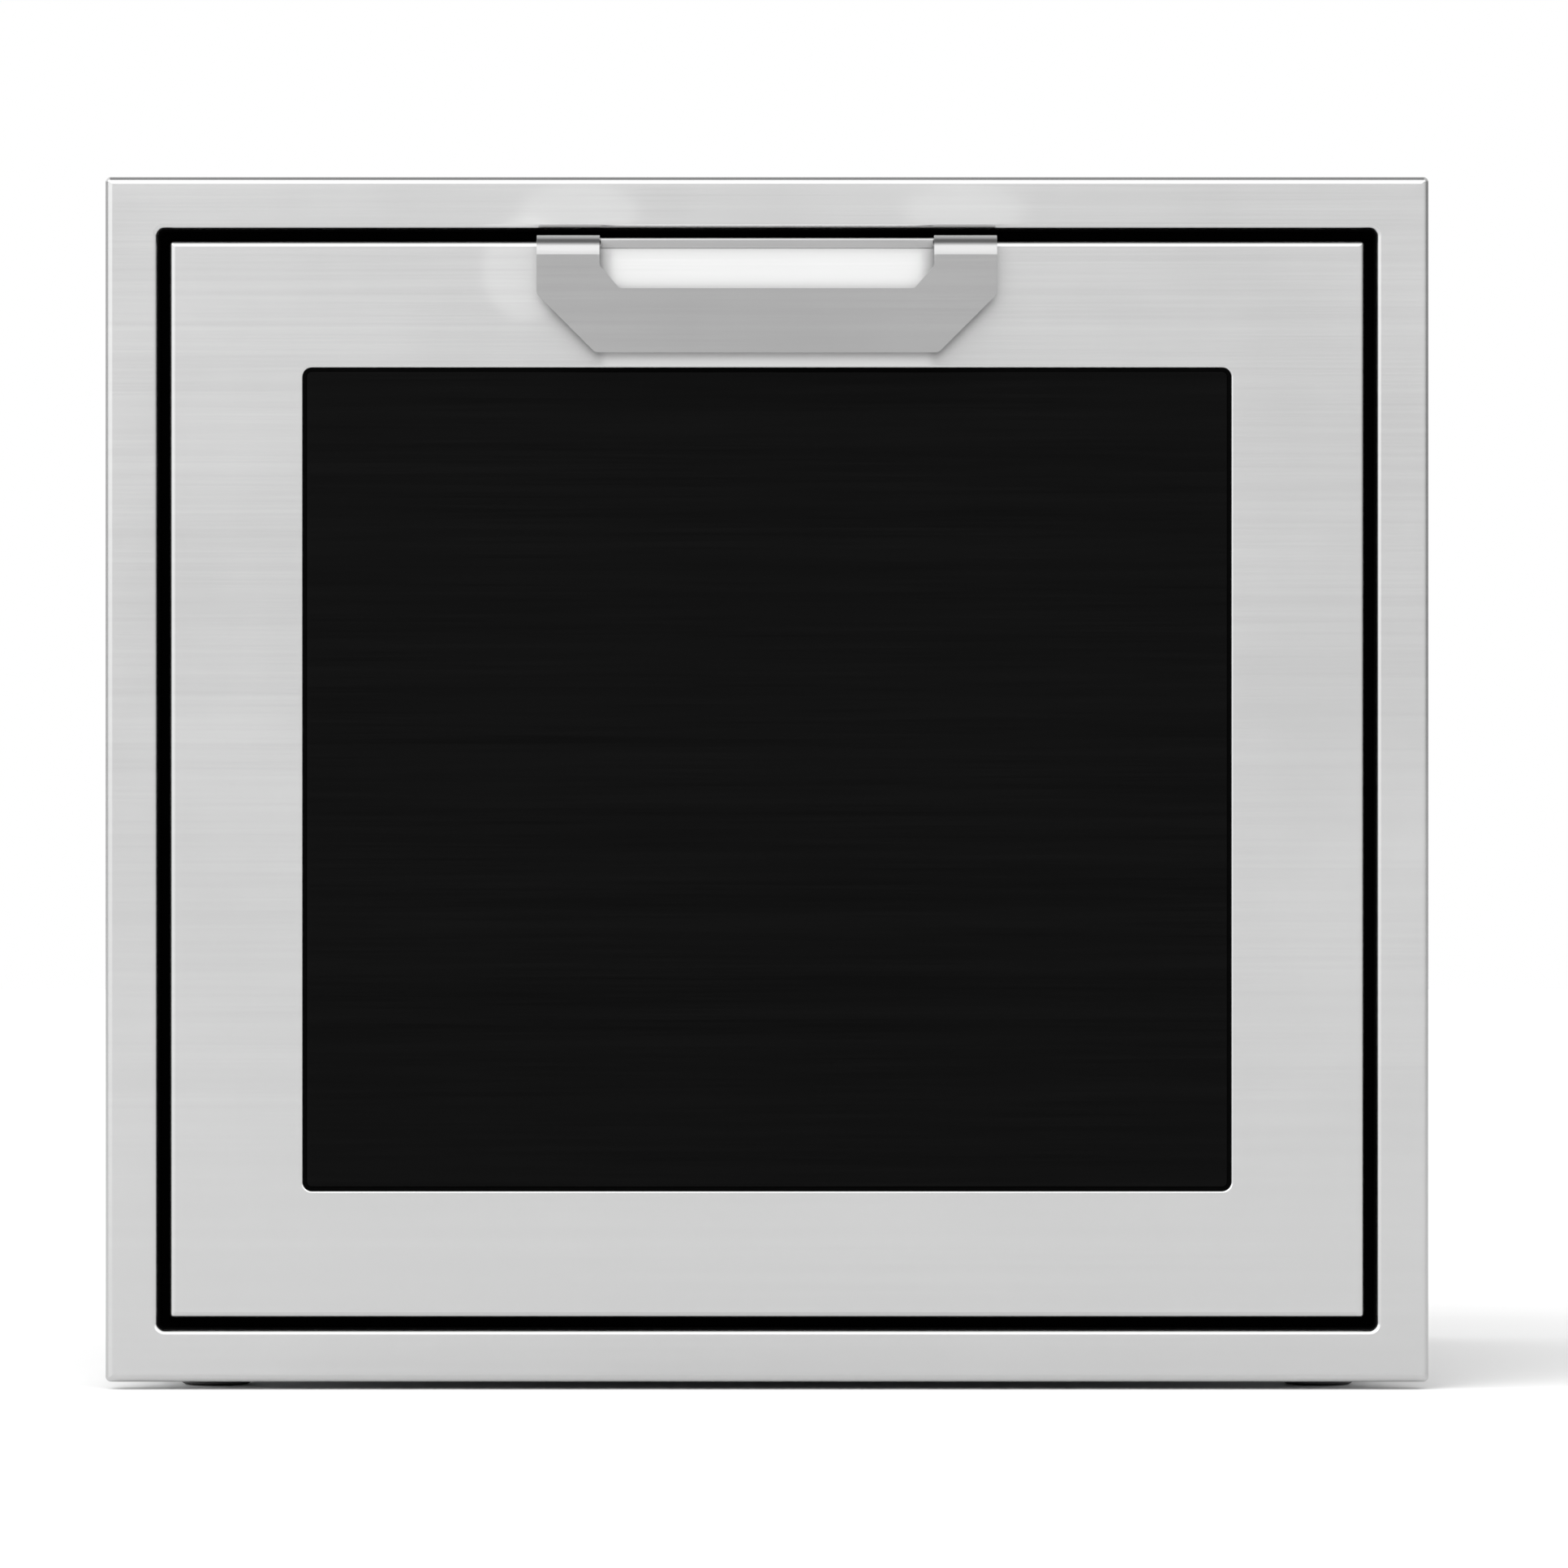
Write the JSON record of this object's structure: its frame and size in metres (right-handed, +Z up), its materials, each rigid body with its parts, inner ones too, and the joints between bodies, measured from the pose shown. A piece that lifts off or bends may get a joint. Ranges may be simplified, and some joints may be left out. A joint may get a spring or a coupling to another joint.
{
  "type": "trash compactor",
  "caption": "Built-in trash compactor with a stainless drawer front, bent-plate pull handle and dark inset panel; a motor-driven screw ram presses into a lift-out bin.",
  "frame": {"origin": "centre of the footprint at the level of the levelling feet's undersides", "axes": "+X to the right as seen from the front, the front faces -Y, +Z up"},
  "size_m": [0.762, 0.648, 0.698],
  "materials": {
    "stainless": "horizontal brushed stainless",
    "handle_steel": "brushed stainless plate",
    "panel_black": "satin black with a faint horizontal grain",
    "seal_rubber": "matt black extrusion",
    "galvanised": "spangled galvanised sheet",
    "painted_frame": "dark grey powder coat",
    "zinc_slide": "zinc plated",
    "chassis_steel": "light grey powder coat",
    "foot_plastic": "black nylon",
    "screw_steel": "zinc plated",
    "bearing_steel": "ground",
    "ram_steel": "grey enamel, scuffed",
    "nut_bronze": "machined bronze",
    "shoe_nylon": "natural nylon",
    "thread_steel": "rolled thread, oiled",
    "gear_steel": "hobbed, oiled",
    "chain_steel": "blued, oiled",
    "belt_rubber": "matt black",
    "cast_alloy": "as cast",
    "motor_paint": "black enamel",
    "motor_core": "laminated core with copper windings",
    "rotor_steel": "turned",
    "capacitor_shell": "black phenolic",
    "inlet_plastic": "black",
    "switch_plastic": "dark red phenolic",
    "bin_plastic": "grey moulded polypropylene",
    "bag_button_plastic": "blue",
    "start_plastic": "green",
    "stop_plastic": "red",
    "key_chrome": "polished"
  },
  "bodies": {
    "cabinet": {"trim_frame": "stainless", "front_gasket": "seal_rubber", "front_bulkhead": "galvanised", "left_side_panel": "stainless", "right_side_panel": "stainless", "top_panel": "stainless", "back_panel": "stainless", "base_pan": "galvanised", "levelling_legs": "foot_plastic", "cabinet_screws": "screw_steel", "left_upright": "painted_frame", "right_upright": "painted_frame", "top_beam": "painted_frame", "press_base_plate": "painted_frame", "screw_bearings": "bearing_steel", "left_drawer_rail": "painted_frame", "right_drawer_rail": "painted_frame", "slide_outer_members": "zinc_slide", "motor_shroud": "galvanised", "drive_bracket": "painted_frame", "drive_bearings": "bearing_steel", "motor_shell": "motor_paint", "motor_end_bells": "cast_alloy", "stator_core": "motor_core", "start_capacitor": "capacitor_shell", "drive_chain": "chain_steel", "drive_belt": "belt_rubber", "control_panel": "galvanised", "power_inlet": "inlet_plastic", "limit_switches": "switch_plastic"},
    "drawer": {"drawer_front_skin": "stainless", "drawer_front_liner": "galvanised", "dark_panel": "panel_black", "handle": "handle_steel", "drawer_screws": "screw_steel", "drawer_chassis": "chassis_steel", "slide_inner_members": "zinc_slide", "bin": "bin_plastic", "bag_buttons": "bag_button_plastic"},
    "left_slide": {"left_slide_middle": "zinc_slide"},
    "right_slide": {"right_slide_middle": "zinc_slide"},
    "ram": {"ram_crosshead": "painted_frame", "ram_skirt": "ram_steel", "ram_platen": "ram_steel", "ram_nuts": "nut_bronze", "ram_guide_shoes": "shoe_nylon"},
    "left_screw": {"left_power_screw": "thread_steel", "left_sprocket": "gear_steel"},
    "right_screw": {"right_power_screw": "thread_steel", "right_sprocket": "gear_steel"},
    "tensioner": {"tensioner_sprocket": "gear_steel"},
    "rotor": {"motor_rotor": "rotor_steel", "motor_pulley": "cast_alloy"},
    "countershaft": {"pinion_shaft": "gear_steel", "belt_pulley": "cast_alloy"},
    "drive_shaft": {"sprocket_shaft": "gear_steel", "drive_gear": "gear_steel"},
    "start": {"start_button": "start_plastic"},
    "stop": {"stop_button": "stop_plastic"},
    "key": {"key_switch": "key_chrome"}
  },
  "joints": [
    {"name": "drawer_slide", "type": "slide", "parent": "cabinet", "child": "drawer", "axis": [0, -1, 0], "range_m": [0, 0.44]},
    {"name": "left_slide_extend", "type": "slide", "parent": "cabinet", "child": "left_slide", "axis": [0, -1, 0], "range_m": [0, 0.22]},
    {"name": "right_slide_extend", "type": "slide", "parent": "cabinet", "child": "right_slide", "axis": [0, -1, 0], "range_m": [0, 0.22]},
    {"name": "motor_turn", "type": "hinge", "parent": "cabinet", "child": "rotor", "pos_m": [-0.18125, 0.262, 0.16], "axis": [0, 0, -1], "range_deg": [0, 161280]},
    {"name": "countershaft_turn", "type": "hinge", "parent": "cabinet", "child": "countershaft", "pos_m": [-0.05625, 0.262, 0.065], "axis": [0, 0, -1], "range_deg": [0, 46080]},
    {"name": "drive_shaft_turn", "type": "hinge", "parent": "cabinet", "child": "drive_shaft", "pos_m": [0, 0.262, 0.065], "axis": [0, 0, 1], "range_deg": [0, 11520]},
    {"name": "left_screw_turn", "type": "hinge", "parent": "cabinet", "child": "left_screw", "pos_m": [-0.332, -0.021, 0.3], "axis": [0, 0, 1], "range_deg": [0, 11520]},
    {"name": "right_screw_turn", "type": "hinge", "parent": "cabinet", "child": "right_screw", "pos_m": [0.332, -0.021, 0.3], "axis": [0, 0, 1], "range_deg": [0, 11520]},
    {"name": "tensioner_turn", "type": "hinge", "parent": "cabinet", "child": "tensioner", "pos_m": [0.18222, 0.13953, 0.05], "axis": [0, 0, 1], "range_deg": [0, 11520]},
    {"name": "ram_travel", "type": "slide", "parent": "cabinet", "child": "ram", "axis": [0, 0, -1], "range_m": [0, 0.2032]},
    {"name": "start_press", "type": "slide", "parent": "cabinet", "child": "start", "axis": [0, 1, 0], "range_m": [0, 0.003], "stiffness_N_per_m": 400},
    {"name": "stop_press", "type": "slide", "parent": "cabinet", "child": "stop", "axis": [0, 1, 0], "range_m": [0, 0.003], "stiffness_N_per_m": 400},
    {"name": "key_turn", "type": "hinge", "parent": "cabinet", "child": "key", "pos_m": [-0.0702, -0.248, 0.621], "axis": [0, 1, 0], "range_deg": [0, 90]}
  ],
  "couplings": [
    {"joint": "left_slide_extend", "follows": "drawer_slide", "ratio": 0.5},
    {"joint": "right_slide_extend", "follows": "drawer_slide", "ratio": 0.5},
    {"joint": "motor_turn", "follows": "ram_travel", "rad_per_m": 13853},
    {"joint": "countershaft_turn", "follows": "ram_travel", "rad_per_m": 3957.9},
    {"joint": "drive_shaft_turn", "follows": "ram_travel", "rad_per_m": 989.48},
    {"joint": "left_screw_turn", "follows": "ram_travel", "rad_per_m": 989.48},
    {"joint": "right_screw_turn", "follows": "ram_travel", "rad_per_m": 989.48},
    {"joint": "tensioner_turn", "follows": "ram_travel", "rad_per_m": 989.48}
  ]
}
